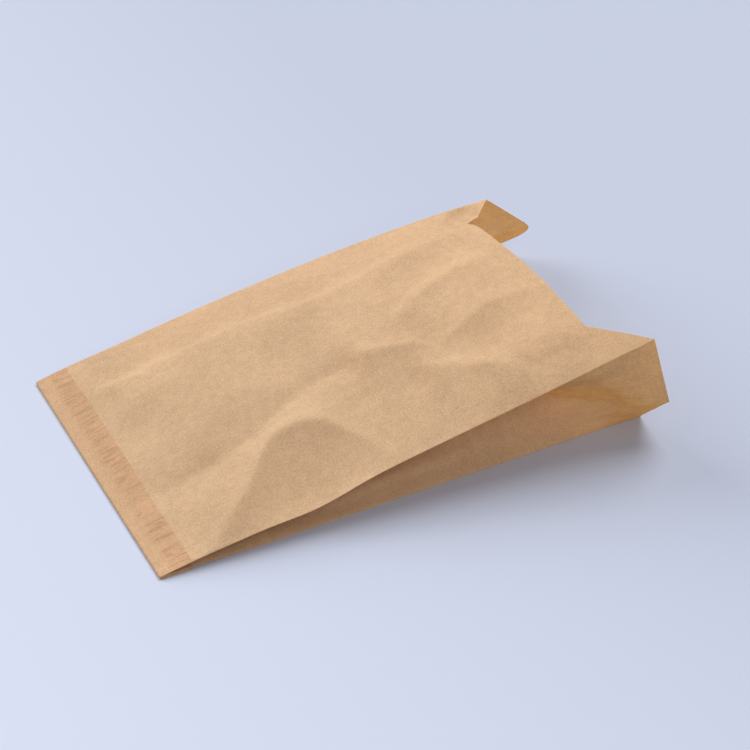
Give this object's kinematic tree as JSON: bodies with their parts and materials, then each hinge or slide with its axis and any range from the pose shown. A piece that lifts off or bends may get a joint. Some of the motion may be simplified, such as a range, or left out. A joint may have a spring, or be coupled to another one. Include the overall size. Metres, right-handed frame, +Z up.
{
  "type": "paper bag",
  "caption": "Flat kraft paper bag with side gussets and a folded-under closed end, lying on its back with its mouth propped open.",
  "frame": {"origin": "middle of the bag's footprint, on the plane that it lies on", "axes": "+X along the bag towards its mouth, +Z up from the back panel to the front panel, and -Y to the side whose gusset is pushed outward at the mouth"},
  "size_m": [0.308, 0.2054, 0.0666],
  "materials": {
    "brown_paper": "matte"
  },
  "bodies": {
    "root": {"paper_bag": "brown_paper"}
  },
  "joints": []
}
